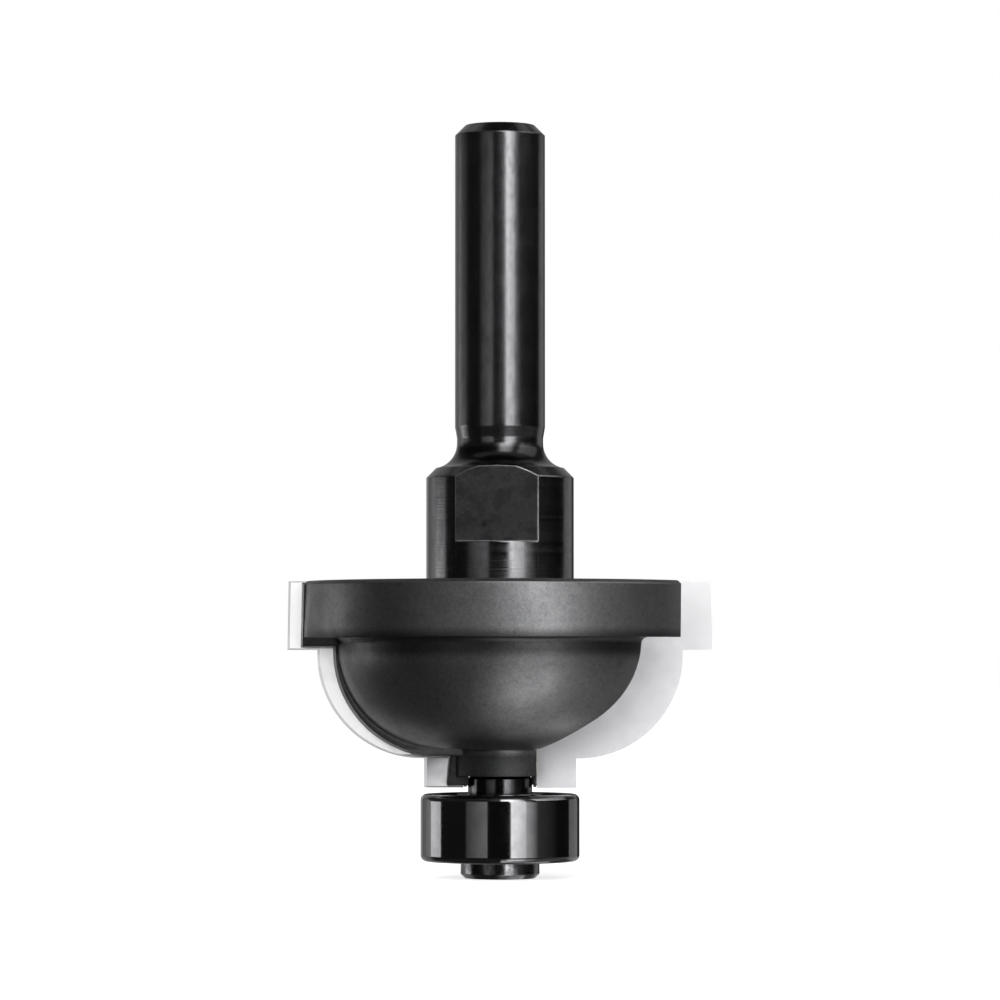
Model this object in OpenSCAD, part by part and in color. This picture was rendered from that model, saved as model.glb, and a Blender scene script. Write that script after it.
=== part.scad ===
// Two-flute cove router bit with a ball-bearing guide at its tip.
// It stands on its retaining screw, with the shank up the +Z axis.
// Tooth 1 is at +X with its cutting face towards -Y, so the bit cuts clockwise seen from the shank.

/* [Shank and collar] */
// Diameter of the ground shank
shank_d = 8; // [6:0.05:10]
// Length of the ground shank
shank_len = 26; // [18:0.5:50]
// Chamfer round the shank's end
shank_chamfer = 0.9; // [0.3:0.1:1.5]
// Radial depth of the undercut neck below the ground shank
neck_undercut = 0.17; // [0.05:0.01:0.4]
// Height of the taper from the shank down to the neck
neck_taper = 1; // [0.3:0.1:2]
// Straight length of the undercut neck
neck_len = 0.45; // [0.2:0.05:3]
// Fillet between the neck and the collar's shoulder
neck_fillet = 2.2; // [1:0.1:3]
// Diameter of the collar
collar_d = 13.1; // [11.5:0.1:16]
// Height of the collar's straight side
collar_h = 9.2; // [6:0.05:16]
// Chamfer round the collar's upper edge
collar_chamfer = 0.9; // [0.4:0.1:1.2]
// Width of the flat ring between the fillet and the collar's chamfer
shoulder_w = 0.1; // [0.05:0.05:0.6]
// Depth of the marking flat below the collar's surface
flat_depth = 1.1; // [0.4:0.1:1.6]
// Height of the flat's lower step above the flange
flat_base = 3.45; // [1:0.05:6]
// Turn of the flat about the axis, in degrees, from the middle of the space between the teeth
flat_turn = -3; // [-30:1:30]

/* [Cutting profile] */
// Radius of the cove that the bit cuts
cove_r = 9.2; // [7:0.1:10.5]
// Flat between the straight edge below the cove and the cove's arc
cove_ledge = 0.25; // [0:0.05:0.6]
// Straight edge above the cove
cove_rise = 0.45; // [0:0.05:1]
// Radial step between the cove and the outer edge
rim_step = 2.65; // [1.5:0.05:4]
// Height of the outer cutting edge above the cove
rim_edge = 6.1; // [4:0.1:9]
// How much the outer edge draws in towards its top, on the radius
back_taper = 0.12; // [0:0.02:0.4]
// Straight edge below the cove
foot_edge = 2.6; // [1.6:0.1:4]
// How far the straight edge lies inside the guide bearing's radius
foot_inset = 0.3; // [0:0.05:0.8]

/* [Carbide tips] */
// Thickness of the carbide tips
tip_t = 1.6; // [1.2:0.1:2]
// How far the tips reach down past the boss
tip_drop = 1.1; // [0.4:0.1:1.2]
// How far the tips stand above the flange
tip_rise = 0.05; // [0:0.05:0.4]
// Width of a tip along its upper end
tip_top_w = 10; // [8:0.1:10.5]
// Height of the upright part of a tip's inner edge
tip_inner_h = 4.3; // [3:0.1:6]
// Braze film between a tip and its seat
braze_gap = 0.05; // [0.02:0.01:0.1]
// Relief angle behind the cutting edges, in degrees
relief = 10; // [6:0.5:14]
// Shear angle of the teeth, in degrees
shear = 5; // [0:0.5:8]

/* [Head] */
// How far the land behind a tip lies inside the cove, on the radius
land_inset = 1.5; // [1:0.05:1.8]
// How far the land lies above the cutting profile
land_lift = 0.35; // [0.1:0.05:0.6]
// Thickness of the land, from the cutting face to its back
land_t = 3; // [2.4:0.1:4]
// How far the rib behind a tip's straight edge lies inside that edge
rib_inset = 2.35; // [1.2:0.05:2.5]
// How much the rib spreads towards its lower end
rib_flare = 0.3; // [0:0.05:0.6]
// Clearance between the ribs and the ring on the journal
rib_gap = 0.2; // [0.1:0.05:0.4]
// Steel behind a tip's foot, where the rib passes the boss
rib_t = 0.4; // [0.2:0.1:1]
// How far the bowl between the teeth lies inside the cutting profile, on the radius
bowl_inset = 1.55; // [1:0.05:2]
// How far the bowl lies above the cutting profile
bowl_lift = 0.95; // [0.5:0.05:1.1]
// How far the flange lies inside the outer cutting edge
flange_inset = 1.25; // [0.6:0.05:1.4]
// Height of the flange's underside above the bottom of the outer cutting edge
flange_lift = 1.1; // [0.7:0.05:2]
// Fillet between the bowl and the flange
flange_fillet = 0.5; // [0.2:0.1:1]
// Chamfer round the flange's upper edge
flange_chamfer = 0.3; // [0.1:0.05:0.8]
// Diameter of the boss under the bowl
boss_d = 8.2; // [7.2:0.1:9]
// Fillet between the boss and the bowl
boss_fillet = 0.3; // [0.1:0.05:0.6]

/* [Gullets] */
// Thickness of the web that the two gullets leave
web_t = 6.4; // [6.2:0.1:8]
// Width of a gullet in front of its cutting face
gullet_w = 8.25; // [6:0.05:9]
// Radius of the disc cutter that mills a gullet
gullet_cutter_r = 30; // [24:1:45]
// Radius in the corner between a gullet's floor and its front wall
gullet_corner = 5; // [1:0.25:5.5]
// Steel left on the flange between the collar and a gullet
gullet_margin = 1.3; // [0.5:0.1:2.5]

/* [Guide bearing] */
// Outer diameter of the bearing
bearing_d = 14.1; // [13.8:0.1:16]
// Width of the bearing
bearing_w = 5.95; // [5.5:0.05:7]
// Bore of the bearing and diameter of the journal that it sits on
journal_d = 4.76; // [4.5:0.02:4.9]
// Rounding of the bearing's outer edges
ring_round = 0.55; // [0.2:0.05:0.65]
// Diameter of the balls
ball_d = 2.38; // [2:0.02:2.5]
// Number of balls
ball_count = 7; // [6:1:7]
// Depth of the grooves that the balls run in
groove_depth = 0.3; // [0.2:0.05:0.5]
// Chamfer at the ends of the inner ring's bore
bore_chamfer = 0.15; // [0.05:0.05:0.3]
// Play between a ball and its grooves
ball_play = 0.04; // [0.03:0.01:0.08]
// Thickness of the cage's sheet
cage_t = 0.22; // [0.15:0.01:0.3]
// Radial width of the cage
cage_w = 0.9; // [0.7:0.05:1.1]
// Diameter of the cage's rivets
rivet_d = 0.5; // [0.4:0.05:0.6]
// Diameter of the rivets' heads
rivet_head_d = 0.85; // [0.8:0.05:0.9]
// Thickness of the rivets' heads
rivet_head_t = 0.15; // [0.1:0.05:0.2]
// Thickness of the shields
shield_t = 0.25; // [0.15:0.01:0.3]
// Step that stiffens a shield
shield_step = 0.2; // [0.1:0.05:0.3]
// Width of a shield's outer flange
shield_flange = 0.45; // [0.4:0.05:0.6]
// Depth of a shield's seat in the outer ring
shield_seat = 0.3; // [0.2:0.05:0.4]
// Running gap between a shield and the inner ring
shield_gap = 0.1; // [0.06:0.01:0.15]
// Depth of the snap rings' far face below the bearing's face
snap_depth = 0.5; // [0.4:0.05:0.6]
// Thickness of the snap rings
snap_t = 0.3; // [0.2:0.05:0.35]
// Depth of the snap rings' grooves in the outer ring
snap_groove = 0.45; // [0.35:0.05:0.6]
// Radial width of the snap rings
snap_w = 0.5; // [0.4:0.05:0.6]
// Opening of the snap rings, in degrees
snap_opening = 30; // [20:5:60]

/* [Spacer and screw] */
// Diameter of the ring between the bearing and the boss
spacer_d = 5.7; // [5.3:0.1:6]
// Height of that ring
spacer_h = 1.6; // [1.3:0.1:2.5]
// Chamfer round the ring's upper edge
spacer_chamfer = 0.25; // [0.05:0.05:0.4]
// How far the journal stops short of the screw's head
journal_short = 0.3; // [0.1:0.05:0.5]
// Diameter of the screw's head
head_d = 7; // [6.5:0.1:7.4]
// Height of the screw's head
head_h = 1.5; // [1.2:0.05:2.2]
// Chamfer round the screw's head
head_chamfer = 0.4; // [0.1:0.05:0.6]
// Width across the flats of the hexagon socket
socket_af = 2; // [1.5:0.1:2.5]
// Depth of the hexagon socket
socket_depth = 1; // [0.7:0.05:1.1]
// Thread diameter of the screw
thread_d = 3; // [2.5:0.1:3]
// Length of the screw under its head
thread_len = 6; // [4:0.5:8]
// Chamfer at the end of the thread
thread_chamfer = 0.4; // [0.2:0.1:0.6]
// How far the tapped hole runs on past the screw
hole_extra = 1.5; // [1:0.5:3]
// Gap at the parts that slip over the journal and at the thread
slip_gap = 0.015; // [0.01:0.005:0.03]

/* [Hidden] */
$fn = 96;
balls = [for (i = [1:ball_count]) str("ball_", i)];

// Heights, from the underside of the screw's head upwards
bearing_z = head_h;
bearing_mid = bearing_z + bearing_w / 2;
boss_z = bearing_z + bearing_w + spacer_h;
tip_z = boss_z - tip_drop;
cove_z = tip_z + foot_edge + cove_r;
step_z = cove_z + cove_rise;
tip_top = step_z + rim_edge;
flange_top = tip_top - tip_rise;
flange_under = step_z + flange_lift;
collar_edge = flange_top + collar_h;
shoulder_z = collar_edge + collar_chamfer;

// Radii of the cutting profile and of the steel inside it
foot_r = bearing_d / 2 - foot_inset;
cove_out = foot_r + cove_ledge; // from the axis to the middle of the cove's arc
rim_r = cove_out + cove_r + rim_step;
flange_r = rim_r - flange_inset;
spacer_r = spacer_d / 2;
collar_r = collar_d / 2;
shank_r = shank_d / 2;
neck_r = shank_r - neck_undercut;
web_x = web_t / 2;
journal_r = journal_d / 2;

// The gullet's floor runs straight up and then curves out to clear the collar
floor_out = collar_r + gullet_margin - web_x;
floor_rise = sqrt(pow(gullet_cutter_r, 2) - pow(gullet_cutter_r - floor_out, 2));
floor_z = flange_top - floor_rise;

// Middle height of the tips, where the sheared cutting face crosses the axis
shear_z = (tip_z + tip_top) / 2;

far = 100; // longer than anything that it cuts
over = 1; // how far cuts run past open faces
drill_slope = 31; // slope of a drill's point, in degrees

// Inside the bearing
ring_half = bearing_w / 2;
ball_r = ball_d / 2;
groove_r = ball_r + ball_play; // of the rings' grooves and the cage's pockets
pitch_r = (bearing_d / 2 + journal_r) / 2;
inner_shoulder_r = pitch_r - groove_r + groove_depth;
outer_shoulder_r = pitch_r + groove_r - groove_depth;
snap_far = ring_half - snap_depth;
snap_groove_r = outer_shoulder_r + snap_groove;
shield_seat_r = outer_shoulder_r + shield_seat;
shield_z = snap_far - snap_t - shield_t;

// A solid turned from the profile that its children draw
module turned() {
    rotate_extrude() intersection() {
        children();
        translate([0, -far]) square([far, 2 * far]);
    }
}

// A child drawn in the XZ plane and thickened from the plane Y = from_y by t towards +Y
module upright(from_y, t) {
    translate([0, from_y + t, 0]) rotate([90, 0, 0]) linear_extrude(t) children();
}

// Tips the upright cutting plane over by the shear angle
module sheared() {
    translate([0, 0, shear_z]) rotate([-shear, 0, 0]) translate([0, 0, -shear_z]) children();
}

// Both teeth, from a child made for the tooth at +X
module both_teeth() {
    for (turn = [0, 180]) rotate([0, 0, turn]) children();
}

// Cutting profile from the axis outwards: foot, cove, step and rim, moved up and with the cove moved in
module edge_profile(inset, lift, foot_x, flare, top_x) {
    cove_x = cove_out - inset;
    zc = cove_z + lift;
    step = step_z + lift;
    union() {
        polygon([[0, tip_z + lift], [foot_x + flare, tip_z + lift], [foot_x, zc - cove_r],
                 [cove_x, zc - cove_r], [cove_x, zc], [cove_x + cove_r, zc], [cove_x + cove_r, step],
                 [top_x, step], [top_x - back_taper, tip_top], [0, tip_top]]);
        intersection() {
            translate([cove_x, zc]) circle(cove_r);
            translate([cove_x - over, zc - cove_r]) square([cove_r + over, cove_r]);
        }
    }
}

module tip_profile() {
    edge_profile(0, 0, foot_r, 0, rim_r);
}

module land_profile() {
    edge_profile(land_inset, land_lift, foot_r - rib_inset, rib_flare, flange_r);
}

// Bar of the drawn profile from the cutting face to Y = t, leaning in and up as it goes back past Y = start
module relieved_bar(start, t) {
    lean = tan(relief);
    intersection() {
        translate([0, start, 0]) multmatrix([[1, -lean, 0, 0], [0, 1, 0, 0], [0, lean, 1, 0]])
            upright(-t, 2 * t) children();
        translate([-far, 0, tip_z]) cube([2 * far, t, tip_top - tip_z]);
    }
}

// What lies inside a tip's inner edge, upright past the boss and then slanting out to the top
module inside_tip(gap) {
    inner_top = rim_r - back_taper - tip_top_w - gap;
    inner_foot = web_x + braze_gap - gap;
    upright(-2 * over, tip_t + 4 * over) polygon([
        [-over, tip_z - over], [inner_foot, tip_z - over], [inner_foot, tip_z + tip_inner_h],
        [inner_top, tip_top], [inner_top, tip_top + over], [-over, tip_top + over]]);
}

// One gullet: the path of a disc cutter that comes up from the tip end and stops under the collar
module gullet() {
    centre_x = web_x + gullet_cutter_r;
    straight = gullet_cutter_r - gullet_corner;
    sheared() translate([centre_x, 0, floor_z]) {
        rotate([90, 0, 0]) rotate_extrude() union() {
            square([straight, gullet_w]);
            square([gullet_cutter_r, gullet_w - gullet_corner]);
            translate([straight, gullet_w - gullet_corner]) circle(gullet_corner);
        }
        translate([0, 0, -floor_z - over]) linear_extrude(floor_z + over) union() {
            translate([-straight, -gullet_w]) square([2 * straight, gullet_w]);
            translate([-gullet_cutter_r, gullet_corner - gullet_w])
                square([2 * gullet_cutter_r, gullet_w - gullet_corner]);
            translate([-straight, gullet_corner - gullet_w]) circle(gullet_corner);
        }
    }
}

// Bowl, flange, boss and journal as they are turned, before the gullets are milled
module head_profile() {
    bowl_x = cove_out - bowl_inset;
    bowl_top = bowl_x + cove_r;
    bowl_z = cove_z + bowl_lift;
    journal_z = bearing_z + journal_short;
    boss_r = boss_d / 2;
    under = bowl_z - cove_r;
    difference() {
        union() {
            polygon([[0, journal_z], [journal_r, journal_z], [journal_r, boss_z], [boss_r, boss_z],
                     [boss_r, under], [bowl_x, under], [bowl_x, bowl_z], [bowl_top, bowl_z],
                     [bowl_top, flange_under], [flange_r, flange_under],
                     [flange_r - back_taper, flange_top - flange_chamfer],
                     [flange_r - back_taper - flange_chamfer, flange_top], [0, flange_top]]);
            translate([bowl_x, bowl_z]) intersection() {
                circle(cove_r);
                translate([-over, -cove_r]) square([cove_r + over, cove_r + over]);
            }
            translate([bowl_top, flange_under - flange_fillet]) square([flange_fillet, flange_fillet]);
            translate([boss_r, under - boss_fillet]) square([boss_fillet, boss_fillet]);
        }
        translate([bowl_top + flange_fillet, flange_under - flange_fillet]) circle(flange_fillet);
        translate([boss_r + boss_fillet, under - boss_fillet]) circle(boss_fillet);
    }
}

// Collar, neck and shank, from the flange up
module shank_profile() {
    shoulder_r = collar_r - collar_chamfer;
    reach = min(neck_fillet, shoulder_r - shoulder_w - neck_r);
    fillet_z = shoulder_z + sqrt(pow(neck_fillet, 2) - pow(neck_fillet - reach, 2));
    shank_z = fillet_z + neck_len + neck_taper;
    shank_end = shank_z + shank_len;
    difference() {
        union() {
            polygon([[0, flange_top - over], [collar_r, flange_top - over], [collar_r, collar_edge],
                     [shoulder_r, shoulder_z], [neck_r, shoulder_z], [neck_r, shank_z - neck_taper],
                     [shank_r, shank_z], [shank_r, shank_end],
                     [shank_r - shank_chamfer, shank_end + shank_chamfer], [0, shank_end + shank_chamfer]]);
            translate([neck_r, shoulder_z]) square([reach, fillet_z - shoulder_z]);
        }
        translate([neck_r + neck_fillet, fillet_z]) circle(neck_fillet);
    }
}

module body() {
    hole_r = thread_d / 2 + slip_gap;
    hole_top = head_h + thread_len + hole_extra;
    rib_top = cove_z + land_lift - cove_r;
    color("dimgray") difference() {
        union() {
            turned() head_profile();
            turned() shank_profile();
            both_teeth() sheared() relieved_bar(tip_t, land_t) intersection() {
                land_profile();
                translate([0, rib_top]) square([far, far]);
            }
            both_teeth() sheared() relieved_bar(tip_t, tip_t + rib_t) land_profile();
        }
        both_teeth() gullet();
        // seats of the tips
        both_teeth() sheared() difference() {
            upright(-over, over + tip_t + braze_gap) tip_profile();
            inside_tip(braze_gap);
        }
        // room for the ring between the ribs
        difference() {
            cylinder(r = spacer_r + rib_gap, h = boss_z);
            cylinder(r = journal_r, h = boss_z);
        }
        // tapped hole with its drill point
        translate([0, 0, -over]) cylinder(r = hole_r, h = hole_top + over);
        translate([0, 0, hole_top]) cylinder(r1 = hole_r, r2 = 0, h = hole_r * tan(drill_slope));
        // marking flat
        rotate([0, 0, flat_turn]) translate([-far / 2, -far - collar_r + flat_depth, flange_top + flat_base])
            cube([far, far, collar_h]);
    }
}

module carbide_tip() {
    color("gainsboro") sheared() difference() {
        relieved_bar(0, tip_t) tip_profile();
        inside_tip(0);
    }
}

module bearing_spacer() {
    bore_r = journal_r + slip_gap;
    color("silver") translate([0, 0, boss_z - spacer_h]) rotate_extrude() polygon([
        [bore_r, 0], [spacer_r, 0], [spacer_r, spacer_h - spacer_chamfer],
        [spacer_r - spacer_chamfer, spacer_h], [bore_r, spacer_h]]);
}

// Profile of a ring from r1 to r2, less the groove that the balls run in
module ring_blank(r1, r2) {
    difference() {
        translate([r1, -ring_half]) square([r2 - r1, bearing_w]);
        translate([pitch_r, 0]) circle(groove_r);
    }
}

module inner_ring() {
    bore_r = journal_r + slip_gap;
    color("silver") translate([0, 0, bearing_mid]) rotate_extrude() difference() {
        ring_blank(bore_r, inner_shoulder_r);
        for (end = [-1, 1])
            translate([bore_r, end * ring_half]) rotate(45) square(bore_chamfer * sqrt(2), center = true);
    }
}

// The outer ring carries a seat and a groove at each end for its shield and snap ring
module outer_ring() {
    r = bearing_d / 2;
    corner = ring_half - ring_round;
    color("dimgray") translate([0, 0, bearing_mid]) rotate_extrude() difference() {
        ring_blank(outer_shoulder_r, r);
        for (end = [0, 1]) mirror([0, end]) {
            translate([0, shield_z]) square([shield_seat_r, ring_half]);
            translate([0, snap_far - snap_t]) square([snap_groove_r, snap_t]);
            difference() {
                translate([r - ring_round, corner]) square(ring_round + over);
                translate([r - ring_round, corner]) circle(ring_round);
            }
        }
    }
}

module ball(i) {
    color("silver") translate([0, 0, bearing_mid]) rotate([0, 0, i * 360 / ball_count])
        translate([pitch_r, 0, 0]) sphere(ball_r);
}

// Puts a child at each place round the pitch circle, shift steps on from the first ball
module round_pitch(shift) {
    for (i = [1:ball_count])
        rotate([0, 0, (i + shift) * 360 / ball_count]) translate([pitch_r, 0, 0]) children();
}

// Upper half of the ribbon cage: a flat ring with a domed pocket over each ball
module cage_half() {
    dome_r = groove_r + cage_t;
    color("goldenrod") difference() {
        intersection() {
            union() {
                cylinder(r = pitch_r + cage_w, h = cage_t);
                round_pitch(0) sphere(dome_r);
            }
            difference() {
                cylinder(r = pitch_r + cage_w / 2, h = dome_r);
                translate([0, 0, -over]) cylinder(r = pitch_r - cage_w / 2, h = dome_r + 2 * over);
            }
        }
        round_pitch(0) sphere(groove_r);
        round_pitch(0.5) translate([0, 0, -over]) cylinder(d = rivet_d, h = cage_t + 2 * over);
    }
}

module cage_rivets() {
    color("goldenrod") translate([0, 0, bearing_mid]) round_pitch(0.5) {
        cylinder(d = rivet_d, h = 2 * cage_t, center = true);
        for (end = [0, 1]) mirror([0, 0, end])
            translate([0, 0, cage_t]) cylinder(d = rivet_head_d, h = rivet_head_t);
    }
}

// Pressed shield, stepped outwards between its seat and the inner ring
module shield() {
    inner_r = inner_shoulder_r + shield_gap;
    outer_r = shield_seat_r - slip_gap;
    bend_r = shield_seat_r - shield_flange;
    color("slategray") rotate_extrude() translate([0, shield_z]) polygon([
        [inner_r, shield_step], [bend_r - shield_step, shield_step], [bend_r, 0], [outer_r, 0],
        [outer_r, shield_t], [bend_r + shield_step / 2, shield_t],
        [bend_r - shield_step / 2, shield_t + shield_step], [inner_r, shield_t + shield_step]]);
}

// Open ring that holds a shield down
module snap_ring() {
    color("silver") rotate([0, 0, snap_opening / 2]) rotate_extrude(angle = 360 - snap_opening)
        translate([snap_groove_r - snap_w, snap_far - snap_t]) square([snap_w - slip_gap, snap_t]);
}

module retaining_screw() {
    r = head_d / 2;
    thread_r = thread_d / 2;
    thread_end = head_h + thread_len;
    color("dimgray") difference() {
        rotate_extrude() polygon([
            [0, 0], [r - head_chamfer, 0], [r, head_chamfer], [r, head_h], [thread_r, head_h],
            [thread_r, thread_end - thread_chamfer], [thread_r - thread_chamfer, thread_end],
            [0, thread_end]]);
        translate([0, 0, -over]) cylinder(d = socket_af / cos(30), h = socket_depth + over, $fn = 6);
    }
}

body();
carbide_tip();  // carbide_tip_1
rotate([0, 0, 180]) carbide_tip();  // carbide_tip_2
bearing_spacer();
inner_ring();
outer_ring();
for (i = [1:ball_count]) ball(i);
translate([0, 0, bearing_mid]) cage_half();  // cage_upper
translate([0, 0, bearing_mid]) mirror([0, 0, 1]) cage_half();  // cage_lower
cage_rivets();
translate([0, 0, bearing_mid]) shield();  // shield_upper
translate([0, 0, bearing_mid]) mirror([0, 0, 1]) shield();  // shield_lower
translate([0, 0, bearing_mid]) snap_ring();  // snap_ring_upper
translate([0, 0, bearing_mid]) mirror([0, 0, 1]) snap_ring();  // snap_ring_lower
retaining_screw();
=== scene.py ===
import math

import bmesh
import bpy
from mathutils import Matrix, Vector, noise


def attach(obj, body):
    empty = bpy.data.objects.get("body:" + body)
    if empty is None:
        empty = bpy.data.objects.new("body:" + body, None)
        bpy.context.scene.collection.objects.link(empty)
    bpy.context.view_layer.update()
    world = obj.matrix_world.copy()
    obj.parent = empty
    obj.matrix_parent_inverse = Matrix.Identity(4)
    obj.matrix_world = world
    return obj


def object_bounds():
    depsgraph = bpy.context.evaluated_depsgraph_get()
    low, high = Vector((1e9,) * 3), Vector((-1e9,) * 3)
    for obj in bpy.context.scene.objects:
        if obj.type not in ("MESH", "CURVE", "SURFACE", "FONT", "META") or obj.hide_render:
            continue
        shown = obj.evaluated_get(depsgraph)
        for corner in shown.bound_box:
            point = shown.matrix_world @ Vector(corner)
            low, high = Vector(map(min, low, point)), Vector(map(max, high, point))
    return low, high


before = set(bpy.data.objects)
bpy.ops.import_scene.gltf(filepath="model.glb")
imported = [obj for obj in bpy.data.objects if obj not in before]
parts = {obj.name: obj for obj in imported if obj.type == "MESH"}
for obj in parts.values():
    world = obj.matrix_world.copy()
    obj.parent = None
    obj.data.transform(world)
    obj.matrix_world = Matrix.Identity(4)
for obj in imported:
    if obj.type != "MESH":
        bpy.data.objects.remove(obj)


def plainBox():
    return [[float(value) for value in corner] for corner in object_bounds()]


cadBox = plainBox()
mm = 0.001
print("frame loaded with", len(parts), "parts")

bpy.context.scene.view_settings.view_transform = "Standard"

# the camera stands level with the top of the bowl and looks slightly up
cameraSettings = {
    "distance": 0.397,  # from the bit's axis
    "eyeHeight": 0.0194,
    "aimHeight": 0.0335,
    "lens": 161.0,
    "sensor": 36,
    "clip": (0.01, 20),
}


def placeCamera(settings):
    data = bpy.data.cameras.new("benchCamera")
    data.sensor_width = settings["sensor"]
    data.lens = settings["lens"]
    data.clip_start, data.clip_end = settings["clip"]
    camera = bpy.data.objects.new("benchCamera", data)
    bpy.context.scene.collection.objects.link(camera)
    eye = Vector((0, -settings["distance"], settings["eyeHeight"]))
    aim = Vector((0, 0, settings["aimHeight"]))
    camera.location = eye
    camera.rotation_euler = (aim - eye).to_track_quat("-Z", "Y").to_euler()
    bpy.context.scene.camera = camera


placeCamera(cameraSettings)
print("camera set")


# small helpers for the node trees
def addNode(tree, kind, **values):
    made = tree.nodes.new(kind)
    for key, value in values.items():
        setattr(made, key, value)
    return made


def feed(tree, socket, value):
    if isinstance(value, bpy.types.NodeSocket):
        tree.links.new(value, socket)
    elif hasattr(value, "__len__") and len(value) == 3 and socket.type == "RGBA":
        socket.default_value = (*value, 1)
    else:
        socket.default_value = value


def calc(tree, operation, first, second=0.0, third=0.0, clamp=False):
    made = addNode(tree, "ShaderNodeMath", operation=operation, use_clamp=clamp)
    for socket, value in zip(made.inputs, (first, second, third)):
        feed(tree, socket, value)
    return made.outputs[0]


def times(tree, first, *others):
    for other in others:
        first = calc(tree, "MULTIPLY", first, other)
    return first


def average(tree, first, second):
    return calc(tree, "MULTIPLY_ADD", first, 0.5, calc(tree, "MULTIPLY", second, 0.5))


def vectorCalc(tree, operation, first, second=(0, 0, 0)):
    made = addNode(tree, "ShaderNodeVectorMath", operation=operation)
    feed(tree, made.inputs[0], first)
    feed(tree, made.inputs[1], second)
    return made.outputs


def axesOf(tree, vector):
    made = addNode(tree, "ShaderNodeSeparateXYZ")
    feed(tree, made.inputs[0], vector)
    return made.outputs


def remap(tree, value, span, to=(0, 1), smooth=False):
    made = addNode(tree, "ShaderNodeMapRange", clamp=True)
    if smooth:
        made.interpolation_type = "SMOOTHSTEP"
    for socket, number in zip(made.inputs, (value, *span, *to)):
        feed(tree, socket, number)
    return made.outputs[0]


# the same, over a span in millimetres
def ramp(tree, value, span, to=(0, 1), smooth=False):
    return remap(tree, value, [end * mm for end in span], to, smooth)


def mixNumber(tree, share, first, second):
    made = addNode(tree, "ShaderNodeMix", data_type="FLOAT")
    feed(tree, made.inputs[0], share)
    feed(tree, made.inputs[2], first)
    feed(tree, made.inputs[3], second)
    return made.outputs[0]


def mixColour(tree, share, first, second):
    made = addNode(tree, "ShaderNodeMix", data_type="RGBA")
    feed(tree, made.inputs[0], share)
    feed(tree, made.inputs[6], first)
    feed(tree, made.inputs[7], second)
    return made.outputs[2]


# noise whose grain is given in millimetres along each axis
def grain(tree, place, size, detail=2.0, roughness=0.5, shift=0.0):
    size = size if hasattr(size, "__len__") else (size, size, size)
    mapping = addNode(tree, "ShaderNodeMapping")
    feed(tree, mapping.inputs["Vector"], place)
    mapping.inputs["Location"].default_value = (shift, shift, shift)
    mapping.inputs["Scale"].default_value = [1 / (side * mm) for side in size]
    made = addNode(tree, "ShaderNodeTexNoise")
    feed(tree, made.inputs["Vector"], mapping.outputs[0])
    made.inputs["Scale"].default_value = 1
    made.inputs["Detail"].default_value = detail
    made.inputs["Roughness"].default_value = roughness
    return made.outputs[0]


def startMaterial(name, metallic):
    material = bpy.data.materials.new(name)
    material.use_nodes = True
    tree = material.node_tree
    tree.nodes.clear()
    output = addNode(tree, "ShaderNodeOutputMaterial")
    shader = addNode(tree, "ShaderNodeBsdfPrincipled")
    shader.inputs["Metallic"].default_value = metallic
    tree.links.new(shader.outputs[0], output.inputs["Surface"])
    place = addNode(tree, "ShaderNodeTexCoord").outputs["Object"]
    return material, tree, shader, place


edgeSpan = (0.995, 0.93)  # cosines between the rounded and the flat face, off an edge and on it


# how much a spot turns away from its flat face, 1 right on an edge, and the rounded face itself
def edgeShare(tree, width):
    rounded = addNode(tree, "ShaderNodeBevel", samples=6)
    rounded.inputs["Radius"].default_value = width * mm
    flat = addNode(tree, "ShaderNodeNewGeometry").outputs["Normal"]
    alike = vectorCalc(tree, "DOT_PRODUCT", rounded.outputs[0], flat)["Value"]
    return remap(tree, alike, edgeSpan), rounded.outputs[0]


def addBump(tree, shader, height, depth, under=None):
    bump = addNode(tree, "ShaderNodeBump")
    bump.inputs["Strength"].default_value = 1
    bump.inputs["Distance"].default_value = depth * mm
    feed(tree, bump.inputs["Height"], height)
    if under is not None:
        tree.links.new(under, bump.inputs["Normal"])
    tree.links.new(bump.outputs[0], shader.inputs["Normal"])


def dress(material, *names):
    for name in names:
        for slot in parts[name].material_slots:
            slot.material = material


patchSpan = (0.35, 0.65)  # where a patchy noise goes from one colour to the other
spreadSpan = (0.3, 0.7)  # and from the shiniest spots to the dullest


# what every ground, turned or pressed surface has: broad patches, fine grain and tool lines
def surfaceGrain(tree, place, look):
    patches = grain(tree, place, look["patch"], detail=4, roughness=0.6)
    fine = grain(tree, place, look["grain"], detail=3, roughness=0.6, shift=3.7)
    lines = grain(tree, place, look["lines"], detail=2, roughness=0.4, shift=8.1)
    return patches, fine, lines


def surfaceShine(tree, shader, look, patches, fine, lines, under=None):
    spread = average(tree, fine, patches)
    feed(tree, shader.inputs["Roughness"], remap(tree, spread, spreadSpan, look["roughness"]))
    addBump(tree, shader, calc(tree, "MULTIPLY_ADD", lines, look["lineShare"], fine), look["bump"], under)


# a plain metal, with soft edges where the look gives their width
def makeMetal(name, look):
    material, tree, shader, place = startMaterial(name, look["metallic"])
    patches, fine, lines = surfaceGrain(tree, place, look)
    colour = mixColour(tree, remap(tree, patches, patchSpan), look["colour"], look["patchColour"])
    rounded = None
    if "edgeWidth" in look:
        edge, rounded = edgeShare(tree, look["edgeWidth"])
        colour = mixColour(tree, times(tree, edge, look["edgeWear"]), colour, look["edgeColour"])
    feed(tree, shader.inputs["Base Color"], colour)
    surfaceShine(tree, shader, look, patches, fine, lines, rounded)
    return material


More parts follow.
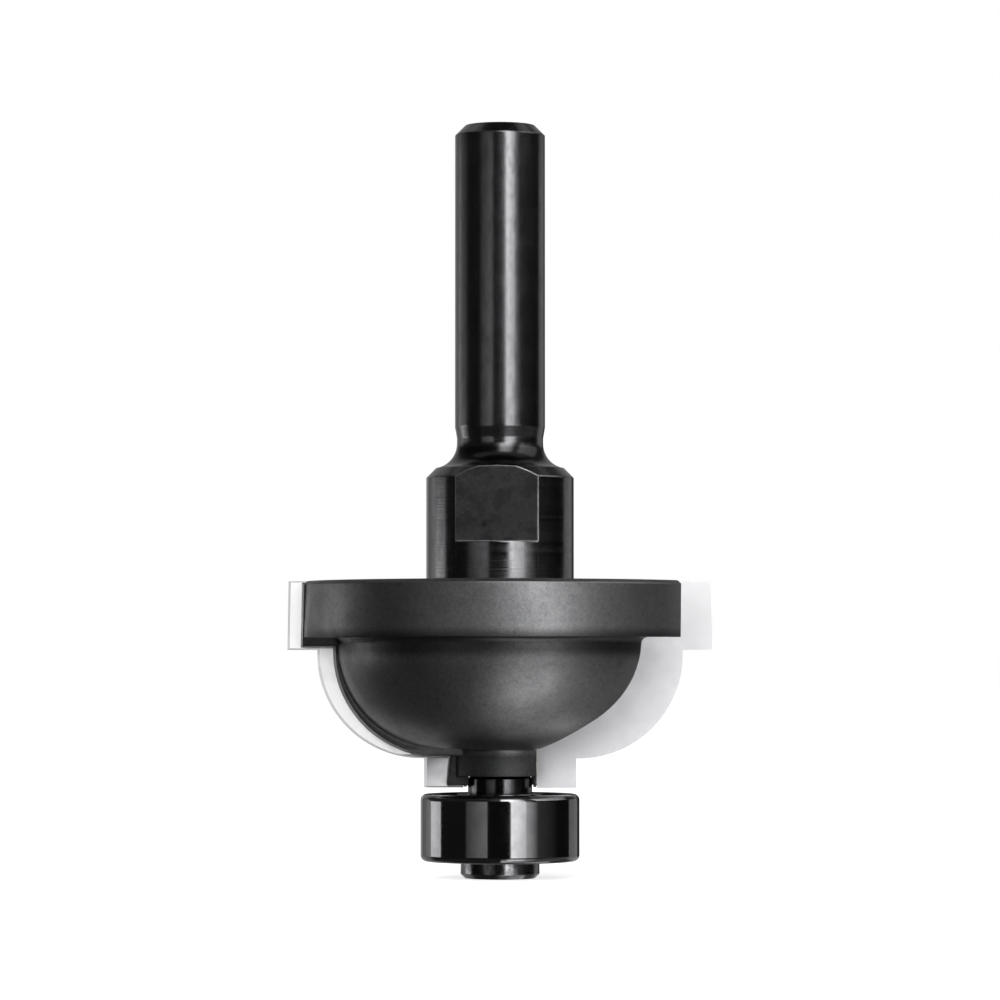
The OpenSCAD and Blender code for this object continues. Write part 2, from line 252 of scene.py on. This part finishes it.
# body: blasted head and boss, polished shank, neck and collar, one scuffed flat
bodyLook = {
    # heights in mm, from where each change starts to where it ends
    "bossTop": (10.8, 11.3),  # painted shade darkens the boss under the bowl
    "landFoot": (11.2, 11.6),  # and painted shade darkens the land beside each tip
    "landTop": (20.6, 20.7),
    "cornerFoot": (19.2, 20.3),  # and painted shade darkens the corner under the flange and the flange's lower edge
    "cornerTop": (21.4, 22.3),
    "headTop": (26.27, 26.28),  # blasted below, polished above
    "collarTop": (35.2, 35.3),  # the turning marks show up to here
    "filletFoot": (36.5, 36.8),  # painted shade darkens the turned fillet above the collar
    "filletTop": (37.9, 38.6),
    "shankStart": (39.93, 39.95),
    # other places, in mm
    "bowlCentre": (5.45, 20.7),  # out and up, middle of the bowl's rounding
    "landReach": (9.3, 9.5),  # from there to the lands
    "flatDepth": 5.45,  # from the axis to the marking flat
    "flatPlay": 0.012,
    "flatTurn": -3.0,  # degrees
    "stainPlace": (-1.4, -5.4, 31.2),  # on the flat
    "stainAndFootShadeReach": (0.34, 0.68),
    "stainSpill": 0.5,
    "edgeWidth": 0.18,
    # colours
    "polished": (0.15, 0.15, 0.155),
    "polishedPatch": (0.125, 0.125, 0.13),
    "smear": (0.108, 0.108, 0.112),
    "fillet": (0.02, 0.02, 0.02),
    "blasted": (0.176, 0.177, 0.180),
    "blastedPatch": (0.146, 0.147, 0.150),
    "grit": (0.25, 0.25, 0.255),
    "pit": (0.07, 0.07, 0.072),
    "scuffed": (0.092, 0.092, 0.094),
    "scuffedPatch": (0.036, 0.036, 0.038),
    "stain": (0.008, 0.008, 0.009),
    # edge colours: partly wear, partly a painted highlight along the edges
    "edge": (0.38, 0.38, 0.39),
    "blastedEdgeWearAndHighlight": (0.20, 0.20, 0.205),
    "unlit": (0.0, 0.0, 0.0),
    # how strong each of them gets
    "filletShare": 0.85,
    "gritShare": 0.45,
    "pitShare": 0.3,
    "stainShare": 0.75,
    "edgeWearAndHighlightShare": (0.25, 0.9),
    "shankEdgeWearAndHighlight": 0.15,
    # what is left of the colour under the painted shade
    "bossShade": 0.5,
    "landShade": 0.5,
    "cornerShade": 0.4,
    # noises: grain in mm, detail, roughness of the noise, and a shift that sets each apart
    "noises": {
        "streaks": ((1.1, 1.1, 40), 3, 0.55, 0.0),
        "smears": ((0.7, 0.7, 1.7), 3, 0.6, 9.2),
        "clouds": (2.2, 5, 0.62, 5.3),
        "speckle": (0.22, 3, 0.6, 1.9),
        "pits": (0.45, 2, 0.6, 4.4),
        "turning": ((30, 30, 0.11), 3, 0.5, 2.3),
        "smudge": ((1.9, 1.9, 1.5), 4, 0.65, 7.7),
    },
    # which part of a noise makes each change
    "smearSpan": (0.45, 0.65),
    "cloudSpan": (0.36, 0.64),
    "gritSpan": (0.45, 0.7),
    "pitSpan": (0.56, 0.72),
    "scuffSpan": (0.42, 0.58),
    "edgeWearAndHighlightSpan": (0.3, 0.6),
    "turnedSpan": (0.36, 0.62),
    "scuffShineSpan": (0.4, 0.62),
    # roughness of each finish
    "polishedRoughness": (0.07, 0.13),
    "collarRoughness": (0.11, 0.24),
    "neckRoughness": 0.2,
    "shankRoughness": (0.17, 0.23),
    "blastedRoughness": (0.38, 0.45),
    "bossRoughness": 0.62,
    "scuffedRoughness": (0.30, 0.42),
    "bump": 0.012,
    "collarBump": 0.3,  # share of the bump that the turning marks get
    "shankBump": 0.1,
}


# where each finish and each painted shade of the body is, as shares from 0 to 1
def findBodyZones(tree, place, look):
    height = axesOf(tree, place)["Z"]
    polished = ramp(tree, height, look["headTop"])
    shank = ramp(tree, height, look["shankStart"])
    belowNeck = ramp(tree, height, look["collarTop"], (1, 0))
    neck = calc(tree, "SUBTRACT", 1, calc(tree, "ADD", belowNeck, shank, clamp=True))
    fillet = times(tree, ramp(tree, height, look["filletFoot"]),
                   ramp(tree, height, look["filletTop"], (1, 0), smooth=True))
    corner = calc(tree, "MINIMUM", ramp(tree, height, look["cornerFoot"], smooth=True),
                  ramp(tree, height, look["cornerTop"], (1, 0), smooth=True))

    fromAxis = vectorCalc(tree, "LENGTH", vectorCalc(tree, "MULTIPLY", place, (1, 1, 0))["Vector"])["Value"]
    centreOut, centreUp = look["bowlCentre"]
    aside = calc(tree, "SUBTRACT", fromAxis, centreOut * mm)
    above = calc(tree, "SUBTRACT", height, centreUp * mm)
    fromBowl = calc(tree, "SQRT", calc(tree, "ADD", times(tree, aside, aside), times(tree, above, above)))
    land = times(tree, ramp(tree, fromBowl, look["landReach"]), ramp(tree, height, look["landFoot"]),
                 ramp(tree, height, look["landTop"], (1, 0)))

    turn = math.radians(look["flatTurn"])
    depth = vectorCalc(tree, "DOT_PRODUCT", place, (math.sin(turn), -math.cos(turn), 0))["Value"]
    flat = calc(tree, "COMPARE", depth, look["flatDepth"] * mm, look["flatPlay"] * mm)
    return {"polished": polished, "shank": shank, "belowNeck": belowNeck, "neck": neck, "fillet": fillet,
            "corner": corner, "land": land, "flat": times(tree, flat, polished),
            "boss": ramp(tree, height, look["bossTop"], (1, 0))}


def paintPolished(tree, zones, noises, look):
    patched = remap(tree, noises["streaks"], patchSpan)
    smeared = remap(tree, noises["smears"], look["smearSpan"])
    colour = mixColour(tree, patched, look["polished"], look["polishedPatch"])
    colour = mixColour(tree, smeared, colour, look["smear"])
    # painted shade darkens the fillet above the collar
    return mixColour(tree, times(tree, zones["fillet"], look["filletShare"]), colour, look["fillet"])


def paintBlasted(tree, noises, look):
    gritty = remap(tree, noises["speckle"], look["gritSpan"], (0, look["gritShare"]))
    pitted = remap(tree, noises["pits"], look["pitSpan"], (0, look["pitShare"]))
    clouded = remap(tree, noises["clouds"], look["cloudSpan"])
    colour = mixColour(tree, clouded, look["blasted"], look["blastedPatch"])
    colour = mixColour(tree, gritty, colour, look["grit"])
    return mixColour(tree, pitted, colour, look["pit"])


def paintScuffed(tree, place, noises, look):
    smudged = remap(tree, noises["smudge"], look["scuffSpan"])
    fromStain = vectorCalc(tree, "DISTANCE", place, [side * mm for side in look["stainPlace"]])["Value"]
    spilt = calc(tree, "MULTIPLY_ADD", noises["smudge"], look["stainSpill"] * mm, fromStain)
    stainAndShade = ramp(tree, spilt, look["stainAndFootShadeReach"], (look["stainShare"], 0))
    colour = mixColour(tree, smudged, look["scuffed"], look["scuffedPatch"])
    return mixColour(tree, stainAndShade, colour, look["stain"])


def paintBody(tree, place, zones, noises, edge, look):
    # painted shade: the boss, the lands and the corner under the flange get darker
    shades = [mixNumber(tree, zones[name], 1, look[name + "Shade"]) for name in ("boss", "land", "corner")]
    lit = times(tree, *shades)
    blasted = mixColour(tree, lit, look["unlit"], paintBlasted(tree, noises, look))
    colour = mixColour(tree, zones["polished"], blasted, paintPolished(tree, zones, noises, look))
    colour = mixColour(tree, zones["flat"], colour, paintScuffed(tree, place, noises, look))
    # edges get lighter where the clouds allow: partly wear, partly a painted highlight
    edgeWearAndHighlight = times(tree, edge, remap(tree, noises["clouds"], look["edgeWearAndHighlightSpan"], look["edgeWearAndHighlightShare"]),
                 mixNumber(tree, zones["shank"], 1, look["shankEdgeWearAndHighlight"]))
    edgeWearAndHighlightColour = mixColour(tree, lit, look["unlit"], look["blastedEdgeWearAndHighlight"])
    edgeWearAndHighlightColour = mixColour(tree, zones["polished"], edgeWearAndHighlightColour, look["edge"])
    return mixColour(tree, edgeWearAndHighlight, colour, edgeWearAndHighlightColour)


def bodyRoughness(tree, zones, noises, look):
    spread = average(tree, noises["turning"], noises["clouds"])
    shine = mixNumber(tree, zones["shank"], remap(tree, spread, patchSpan, look["polishedRoughness"]),
                      remap(tree, spread, patchSpan, look["shankRoughness"]))
    shine = mixNumber(tree, zones["neck"], shine, look["neckRoughness"])
    turned = remap(tree, noises["turning"], look["turnedSpan"], look["collarRoughness"])
    shine = mixNumber(tree, zones["belowNeck"], shine, turned)
    dull = remap(tree, noises["clouds"], patchSpan, look["blastedRoughness"])
    dull = mixNumber(tree, zones["boss"], dull, look["bossRoughness"])
    scuffed = remap(tree, noises["smudge"], look["scuffShineSpan"], look["scuffedRoughness"])
    return mixNumber(tree, zones["flat"], mixNumber(tree, zones["polished"], dull, shine), scuffed)


def makeBodySteel(look):
    material, tree, shader, place = startMaterial("blastedAndPolishedSteel", 1)
    zones = findBodyZones(tree, place, look)
    noises = {name: grain(tree, place, *values) for name, values in look["noises"].items()}
    edge, rounded = edgeShare(tree, look["edgeWidth"])
    feed(tree, shader.inputs["Base Color"], paintBody(tree, place, zones, noises, edge, look))
    feed(tree, shader.inputs["Roughness"], bodyRoughness(tree, zones, noises, look))
    marks = mixNumber(tree, zones["belowNeck"], look["shankBump"], look["collarBump"])
    turned = times(tree, noises["turning"], marks)
    relief = mixNumber(tree, zones["polished"], noises["speckle"], turned)
    addBump(tree, shader, relief, look["bump"], rounded)
    return material


dress(makeBodySteel(bodyLook), "body")
print("body steel done")

# carbide tips: ground and pale in front, cloudier behind, with painted shade at the foot's back and on the
# front at the flange
carbideLook = {
    "colour": (0.87, 0.865, 0.885),
    "patchColour": (0.78, 0.775, 0.805),
    "flangeShadeColour": (0.70, 0.70, 0.71),
    "flangeHeights": (20.9, 24.5),  # mm, painted shade darkens the front from one to the other
    "flangeReach": (15.6, 18.8),  # mm, and outwards
    "flangeShares": (0.85, 0.6),  # how much each of the two darkens it
    "backColour": (0.93, 0.93, 0.935),
    "backPatch": (0.64, 0.64, 0.66),
    "backPatchSize": (3.4, 3.4, 2.6),
    "backPatchSpan": (0.42, 0.68),
    "backTilt": (-0.14, -0.04),  # a back leans down by this much, and a front leans up
    "clearHeights": (14.5, 19.5),  # mm, the back gets fewer clouds from one to the other
    "clearing": -0.2,
    "footShadeColour": (0.27, 0.27, 0.285),
    "footShadeHeights": (8.4, 10.95),  # mm, the painted shade gets stronger from one to the other
    "footShadeEnd": (10.95, 11.0),
    "stainAndFootShadeReach": (4.3, 6.9),  # mm, and outwards
    "footShadeShares": (0.6, 0.5),
    "footShadeSpan": (0.25, 0.9),
    "metallic": 0.12,
    "roughness": (0.26, 0.40),
    "patch": 2.6,
    "grain": 0.12,
    "lines": (0.09, 2.5, 0.09),
    "lineShare": 0.4,
    "bump": 0.0015,
}


def paintTipFront(tree, aside, height, patches, look):
    up, outward = look["flangeShares"]
    # painted shade: the front gets darker at the flange's height and towards its outer end
    flangeShade = calc(tree, "ADD", ramp(tree, height, look["flangeHeights"], (0, up)),
                  ramp(tree, aside, look["flangeReach"], (0, outward)))
    colour = mixColour(tree, remap(tree, patches, patchSpan), look["colour"], look["patchColour"])
    return mixColour(tree, calc(tree, "MINIMUM", flangeShade, 1.0), colour, look["flangeShadeColour"])


def paintTipBack(tree, place, aside, height, look):
    clouds = grain(tree, place, look["backPatchSize"], shift=6.1)
    clouds = calc(tree, "ADD", clouds, ramp(tree, height, look["clearHeights"], (0, look["clearing"])))
    clouded = remap(tree, clouds, look["backPatchSpan"], smooth=True)
    # painted shade: the back of the foot gets darker towards its top and outwards
    up, outward = look["footShadeShares"]
    across = calc(tree, "ADD", ramp(tree, aside, look["stainAndFootShadeReach"], (0, outward)),
                  ramp(tree, height, look["footShadeHeights"], (0, up)))
    stainAndShade = times(tree, ramp(tree, height, look["footShadeEnd"], (1, 0)),
                    remap(tree, across, look["footShadeSpan"], smooth=True))
    colour = mixColour(tree, clouded, look["backColour"], look["backPatch"])
    return mixColour(tree, stainAndShade, colour, look["footShadeColour"])


def makeCarbide(look):
    material, tree, shader, place = startMaterial("groundCarbide", look["metallic"])
    axes = axesOf(tree, place)
    aside = calc(tree, "ABSOLUTE", axes["X"])
    tilt = axesOf(tree, addNode(tree, "ShaderNodeTexCoord").outputs["Normal"])["Z"]
    most, least = look["backTilt"]
    onBack = times(tree, calc(tree, "LESS_THAN", tilt, least), calc(tree, "GREATER_THAN", tilt, most))
    patches, fine, lines = surfaceGrain(tree, place, look)
    front = paintTipFront(tree, aside, axes["Z"], patches, look)
    back = paintTipBack(tree, place, aside, axes["Z"], look)
    feed(tree, shader.inputs["Base Color"], mixColour(tree, onBack, front, back))
    surfaceShine(tree, shader, look, patches, fine, lines)
    return material


dress(makeCarbide(carbideLook), "carbide_tip_1", "carbide_tip_2")

# silver solder: a thin bead along each tip's inner edge in front, and round the steel's edge behind it
brazeLook = {
    "shear": 5.0,  # degrees that the teeth lean
    "shearHeight": 17.125,  # mm, where the lean turns
    # lines as (out from the axis, up) in mm, and how deep behind the tip's front they run
    "frontPath": [(3.23, 8.15), (3.23, 12.25), (8.55, 25.9)],
    "frontDepth": 0.02,
    "backFoot": [(4.68, 8.4), (4.42, 10.85)],
    "archCentre": (5.5, 20.1),
    "archRadius": 9.2,
    "archStep": 2,  # degrees
    "backRim": [(14.72, 20.5), (17.4, 20.5)],
    "backDepth": 1.63,
    "step": 0.25,  # mm between points
    "facets": 10,
    "frontRadius": 0.07,
    "backRadius": 0.13,
    "frontThin": 1.0,  # what is left of the radius further along
    "backThin": 0.2,
    "thinFrom": 18,  # points along, where it starts to get thin
    "thinOver": 8,
    "endSize": 0.35,
    "endOver": 5,  # points from an end to the full size
    "swells": [(0.35, 1500), (0.25, 5200)],  # how much and how often it swells
    "colour": (0.50, 0.49, 0.46),
    "patchColour": (0.30, 0.29, 0.26),
    "metallic": 0.9,
    "roughness": (0.25, 0.5),
    "patch": 0.6,
    "grain": 0.09,
    "lines": 0.25,
    "lineShare": 1.0,
    "bump": 0.01,
}


# points every so often along a bent line of (out, up) corners
def walkAlong(corners, step):
    spots = []
    for (x1, z1), (x2, z2) in zip(corners, corners[1:]):
        count = max(1, round(math.hypot(x2 - x1, z2 - z1) / step))
        spots += [(x1 + (x2 - x1) * n / count, z1 + (z2 - z1) * n / count) for n in range(count)]
    return spots + [corners[-1]]


# stands a point of the tooth's flat drawing up in the leaning tooth
def ontoTooth(out, depth, up, turned, look):
    lean = math.radians(look["shear"])
    rise = up - look["shearHeight"]
    spot = Vector((out, depth * math.cos(lean) + rise * math.sin(lean),
                   look["shearHeight"] - depth * math.sin(lean) + rise * math.cos(lean))) * mm
    return Vector((-spot.x, -spot.y, spot.z)) if turned else spot


# size of the bead at one of its points, as a share of its radius
def beadSize(number, count, spot, thinTo, look):
    swell = 1 + sum(much * noise.noise(spot * often) for much, often in look["swells"])
    thinned = min(1, max(0, (number - look["thinFrom"]) / look["thinOver"]))
    fromEnd = min(number, count - 1 - number)
    return swell * (1 + (thinTo - 1) * thinned) * min(1, look["endSize"] + fromEnd / look["endOver"])


def makeBead(name, spots, radius, thinTo, material, look):
    tube = bmesh.new()
    rings = []
    facets = look["facets"]
    for number, spot in enumerate(spots):
        ahead = spots[min(number + 1, len(spots) - 1)] - spots[max(number - 1, 0)]
        side = ahead.cross(Vector((0, 1, 0))).normalized()
        out = side.cross(ahead).normalized()
        reach = radius * mm * beadSize(number, len(spots), spot, thinTo, look)
        angles = [math.tau * index / facets for index in range(facets)]
        rings.append([tube.verts.new(spot + (side * math.cos(angle) + out * math.sin(angle)) * reach)
                      for angle in angles])
    for first, second in zip(rings, rings[1:]):
        for index in range(facets):
            after = (index + 1) % facets
            tube.faces.new((first[index], first[after], second[after], second[index]))
    tube.faces.new(rings[0])
    tube.faces.new(rings[-1][::-1])
    bmesh.ops.recalc_face_normals(tube, faces=tube.faces)
    mesh = bpy.data.meshes.new(name)
    tube.to_mesh(mesh)
    tube.free()
    mesh.polygons.foreach_set("use_smooth", [True] * len(mesh.polygons))
    mesh.materials.append(material)
    bead = bpy.data.objects.new(name, mesh)
    bpy.context.scene.collection.objects.link(bead)
    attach(bead, "bit")


def makeBrazing(look):
    solder = makeMetal("silverSolder", look)
    centreOut, centreUp = look["archCentre"]
    turns = [math.radians(angle) for angle in range(0, 91, look["archStep"])]
    arch = [(centreOut + look["archRadius"] * math.sin(turn), centreUp - look["archRadius"] * math.cos(turn))
            for turn in turns]
    paths = {"front": look["frontPath"], "back": look["backFoot"] + arch + look["backRim"]}
    for tooth, turned in ((1, False), (2, True)):
        for side, path in paths.items():
            spots = [ontoTooth(out, look[side + "Depth"], up, turned, look)
                     for out, up in walkAlong(path, look["step"])]
            makeBead("braze%s%d" % (side.capitalize(), tooth), spots, look[side + "Radius"],
                     look[side + "Thin"], solder, look)


makeBrazing(brazeLook)
print("tips and their brazing done")

# guide bearing: ground rings, lapped balls, pressed cage and shields
ringLook = {
    "colour": (0.17, 0.17, 0.175),
    "patchColour": (0.14, 0.14, 0.145),
    "edgeColour": (0.36, 0.36, 0.37),
    "metallic": 1.0,
    "roughness": (0.05, 0.11),
    "patch": (1.2, 1.2, 1.6),
    "grain": 0.3,
    "lines": (12, 12, 0.07),
    "lineShare": 1.0,
    "edgeWidth": 0.09,
    "edgeWear": 0.6,
    "bump": 0.0006,
}
dress(makeMetal("groundBearingSteel", ringLook), "outer_ring", "inner_ring")

ballLook = dict(ringLook, colour=(0.52, 0.52, 0.54), patchColour=(0.47, 0.47, 0.49), roughness=(0.03, 0.07),
                bump=0.0002)
dress(makeMetal("lappedBallSteel", ballLook), *[name for name in parts if name.startswith("ball_")])

cageLook = dict(ringLook, colour=(0.42, 0.40, 0.35), patchColour=(0.34, 0.32, 0.28),
                edgeColour=(0.6, 0.58, 0.52), roughness=(0.25, 0.38), lines=(0.2, 0.2, 2), bump=0.002)
dress(makeMetal("pressedCageStrip", cageLook), "cage_upper", "cage_lower", "cage_rivets")

shieldLook = dict(ringLook, colour=(0.30, 0.30, 0.31), patchColour=(0.24, 0.24, 0.25),
                  edgeColour=(0.5, 0.5, 0.5), roughness=(0.22, 0.36), lines=(0.15, 1.5, 0.15), bump=0.002)
dress(makeMetal("pressedShieldSteel", shieldLook), "shield_upper", "shield_lower")

snapLook = dict(ringLook, colour=(0.24, 0.24, 0.25), patchColour=(0.19, 0.19, 0.2), roughness=(0.2, 0.3),
                bump=0.001)
dress(makeMetal("springSteel", snapLook), "snap_ring_upper", "snap_ring_lower")

# spacer and screw: turned and handled, so their shine is patchy
spacerLook = dict(ringLook, colour=(0.075, 0.075, 0.078), patchColour=(0.045, 0.045, 0.048),
                  roughness=(0.11, 0.2), patch=(0.8, 0.8, 0.9), bump=0.0012)
dress(makeMetal("turnedSpacerSteel", spacerLook), "bearing_spacer")

screwLook = dict(ringLook, colour=(0.19, 0.19, 0.195), patchColour=(0.05, 0.05, 0.054),
                 roughness=(0.11, 0.28), patch=(0.8, 0.8, 0.8), bump=0.0018)
dress(makeMetal("blackScrewSteel", screwLook), "retaining_screw")
print("small parts' metals done")

# floor: pale and plain, white to the eye, and it keeps the bit's shadow
floorLook = {
    "radius": 2.5,
    "corners": 96,
    "colour": (0.8, 0.8, 0.8),
    "mottleColour": (0.792, 0.792, 0.8),
    "mottle": 40,  # mm
    "roughness": 0.8,
    "specular": 0.1,
    "lift": 0.72,  # glow that only the eye sees
}


# 1 for the kinds of rays that are named, 0 for the rest, such as light that falls on a matt surface
def seenShare(tree, kinds):
    rays = addNode(tree, "ShaderNodeLightPath")
    seen = 0.0
    for kind in kinds:
        seen = calc(tree, "MAXIMUM", rays.outputs["Is %s Ray" % kind], seen)
    return seen


def makeFloor(look):
    mesh = bpy.data.meshes.new("benchFloor")
    sheet = bmesh.new()
    bmesh.ops.create_circle(sheet, cap_ends=True, segments=look["corners"], radius=look["radius"])
    sheet.to_mesh(mesh)
    sheet.free()
    floor = bpy.data.objects.new("benchFloor", mesh)
    bpy.context.scene.collection.objects.link(floor)
    floor.location.z = cadBox[0][2]
    material, tree, shader, place = startMaterial("paleBenchTop", 0)
    mottle = grain(tree, place, look["mottle"], detail=3)
    feed(tree, shader.inputs["Base Color"], mixColour(tree, mottle, look["colour"], look["mottleColour"]))
    shader.inputs["Roughness"].default_value = look["roughness"]
    shader.inputs["Specular IOR Level"].default_value = look["specular"]
    shader.inputs["Emission Color"].default_value = (1, 1, 1, 1)
    feed(tree, shader.inputs["Emission Strength"],
         times(tree, seenShare(tree, ["Camera", "Glossy"]), look["lift"]))
    mesh.materials.append(material)
    floor.visible_glossy = False  # the steel mirrors the room below bench height


makeFloor(floorLook)

# room: white where it is seen, dimmer as a light
roomLook = {"seen": 1.0, "light": 0.42}


def makeRoom(look):
    world = bpy.data.worlds.new("paleRoom")
    bpy.context.scene.world = world
    world.use_nodes = True
    tree = world.node_tree
    tree.nodes.clear()
    output = addNode(tree, "ShaderNodeOutputWorld")
    sky = addNode(tree, "ShaderNodeBackground")
    sky.inputs["Color"].default_value = (1, 1, 1, 1)
    seen = seenShare(tree, ["Camera", "Glossy", "Transmission"])
    feed(tree, sky.inputs["Strength"], mixNumber(tree, seen, look["light"], look["seen"]))
    tree.links.new(sky.outputs[0], output.inputs["Surface"])


makeRoom(roomLook)

# cards round the bench, seen only in the steel: from and to in degrees round to the right,
# from and to in degrees up, then the glow at the left and right ends
cardLook = {
    "radius": 0.8,
    "columnWidth": 5,  # degrees
    "rows": 8,
    "cards": [
        # level with the bit: what its polished sides mirror
        ("frontBlackCard", -18, 13, -7, 18, 0.02, 0.02),
        ("frontLowCard", 13, 15.5, -7, 0.3, 0.02, 0.02),
        ("keyLowCard", 15.5, 38, -7, 0.3, 4.8, 3.0),
        ("keyCard", 13, 38, 0.3, 2.7, 5.2, 2.8),
        ("keyUpperCard", 14.5, 38, 2.7, 12, 5.0, 2.8),
        ("frontUpperCard", 13, 14.5, 2.7, 12, 0.02, 0.02),
        ("keyFadeLowCard", 38, 56, -7, 2.7, 1.8, 0.25),
        ("keyFadeCard", 38, 50, 2.7, 18, 0.9, 0.1),
        ("keySideCard", 50, 56, 2.7, 18, 0.06, 0.05),
        ("rightFadeCard", 56, 90, -7, 2.7, 0.16, 0.03),
        ("rightBlackCard", 56, 90, 2.7, 18, 0.03, 0.02),
        ("rightEndCard", 90, 119, -7, 18, 0.02, 0.02),
        ("rightGreyCard", 119, 150, -7, 12, 0.5, 0.4),
        ("rearRightCard", 150, 189, -7, 12, 0.05, 0.05),
        ("rearCard", 189, 207, -7, 12, 0.5, 0.5),
        ("rearLeftBlackCard", 207, 226, -7, 12, 0.2, 0.4),
        ("leftGreyCard", 226, 241, -7, 12, 0.5, 0.8),
        ("sideLeftCard", 241, 265, -5.5, 3.1, 2.6, 2.2),
        ("sideLeftUpperCard", 241, 265, 3.1, 12, 0.4, 0.15),
        ("sideLeftLowCard", 241, 265, -7, -5.5, 0.1, 0.05),
        ("leftBlackCard", 265, 310, -7, 12, 0.03, 0.03),
        ("leftDimCard", 310, 342, -7, 12, 0.2, 0.7),
        # above: the key light's upper end and boards for the blasted steel
        ("keyHighLeftCard", 0, 13, 18, 50, 5.0, 7.0),
        ("keyHighCard", 13, 38, 12, 50, 7.5, 1.3),
        ("rightGapCard", 38, 56, 18, 50, 0.3, 0.1),
        ("rightHighCard", 56, 119, 18, 50, 2.3, 0.8),
        ("rightRearHighCard", 119, 150, 12, 50, 0.06, 0.1),
        ("rearHighCard", 150, 220, 12, 50, 0.3, 0.35),
        ("leftRearHighCard", 220, 265, 12, 50, 0.1, 0.06),
        ("leftHighCard", 265, 342, 12, 50, 0.06, 0.06),
        ("frontHighCard", 342, 360, 18, 50, 0.06, 0.3),
        ("upperFrontCard", -100, 100, 50, 66, 0.4, 0.4),
        ("upperRightCard", 100, 130, 50, 66, 0.06, 0.06),
        ("upperRearCard", 130, 230, 50, 66, 0.4, 0.4),
        ("upperLeftCard", 230, 260, 50, 66, 0.06, 0.06),
        ("ceilingCard", -180, 180, 66, 90, 0.03, 0.03),
        # below: what the bowl mirrors
        ("footKeyCard", 13, 38, -25, -7, 0.5, 0.1),
        ("footRightCard", 38, 119, -25, -7, 0.03, 0.3),
        ("footRearCard", 119, 241, -25, -7, 0.6, 0.35),
        ("footLeftCard", -119, 13, -25, -7, 0.03, 0.03),
        ("lowFrontCard", 0, 13, -50, -25, 0.2, 1.4),
        ("lowKeyCard", 13, 38, -50, -25, 2.8, 3.3),
        ("lowFadeCard", 38, 56, -50, -25, 1.6, 0.8),
        ("lowRightCard", 56, 119, -50, -25, 0.3, 0.3),
        ("lowRearCard", 119, 220, -50, -25, 0.05, 0.5),
        ("lowLeftCard", -140, 0, -50, -25, 0.08, 0.05),
        ("underFrontCard", 0, 25, -89, -50, 0.8, 3.2),
        ("underKeyCard", 25, 56, -89, -50, 1.2, 1.5),
        ("underRightCard", 56, 119, -89, -50, 0.4, 0.4),
        ("underRearRightCard", 119, 150, -89, -50, 1.8, 1.4),
        ("underRearCard", 150, 220, -89, -50, 0.1, 0.1),
        ("underLeftCard", -140, 0, -89, -50, 0.05, 0.05),
    ],
}


# where something stands round the bench, by degrees to the right of the front and degrees up
def aroundBench(right, up):
    turn = math.radians(right)
    lift = math.radians(up)
    return Vector((math.sin(turn) * math.cos(lift), -math.cos(turn) * math.cos(lift), math.sin(lift)))


def makeGlow(name):
    material = bpy.data.materials.new(name)
    material.use_nodes = True
    tree = material.node_tree
    tree.nodes.clear()
    output = addNode(tree, "ShaderNodeOutputMaterial")
    lit = addNode(tree, "ShaderNodeEmission")
    painted = addNode(tree, "ShaderNodeAttribute", attribute_name="glow")
    tree.links.new(painted.outputs["Fac"], lit.inputs["Strength"])
    tree.links.new(lit.outputs[0], output.inputs["Surface"])
    material.cycles.emission_sampling = "NONE"
    return material


def makeCard(name, left, right, low, high, glowLeft, glowRight):
    card = bmesh.new()
    across = max(2, int((right - left) / cardLook["columnWidth"]))
    rows = []
    for step in range(cardLook["rows"] + 1):
        up = low + (high - low) * step / cardLook["rows"]
        places = [aroundBench(left + (right - left) * index / across, up) for index in range(across + 1)]
        rows.append([card.verts.new(place * cardLook["radius"]) for place in places])
    for lower, upper in zip(rows, rows[1:]):
        for index in range(across):
            card.faces.new((lower[index], lower[index + 1], upper[index + 1], upper[index]))
    mesh = bpy.data.meshes.new(name)
    card.to_mesh(mesh)
    card.free()
    glow = mesh.attributes.new("glow", "FLOAT", "POINT")
    for number, spot in enumerate(glow.data):
        spot.value = glowLeft + (glowRight - glowLeft) * (number % (across + 1)) / across
    mesh.materials.append(makeGlow(name))
    holder = bpy.data.objects.new(name, mesh)
    bpy.context.scene.collection.objects.link(holder)
    holder.visible_camera = False
    holder.visible_diffuse = False
    holder.visible_shadow = False
    holder.visible_transmission = False


for cardValues in cardLook["cards"]:
    makeCard(*cardValues)

# lamps: soft boxes for everything that isn't mirror bright
lampLook = {
    "keyLamp": {"right": 28, "up": 25, "distance": 0.6, "size": (0.3, 0.6), "power": 0.75},
    "fillLamp": {"right": -25, "up": 15, "distance": 0.6, "size": (0.4, 0.6), "power": 3.4},
    "overheadLamp": {"right": 10, "up": 80, "distance": 0.7, "size": (0.6, 0.6), "power": 1.6},
}


def placeLamp(name, look):
    data = bpy.data.lights.new(name, "AREA")
    data.shape = "RECTANGLE"
    data.size, data.size_y = look["size"]
    data.energy = look["power"]
    lamp = bpy.data.objects.new(name, data)
    bpy.context.scene.collection.objects.link(lamp)
    away = aroundBench(look["right"], look["up"])
    lamp.location = away * look["distance"]
    lamp.rotation_euler = away.to_track_quat("Z", "Y").to_euler()
    lamp.visible_camera = False
    lamp.visible_glossy = False


for lampName, lampValues in lampLook.items():
    placeLamp(lampName, lampValues)
print("bench, room, cards and lamps set")
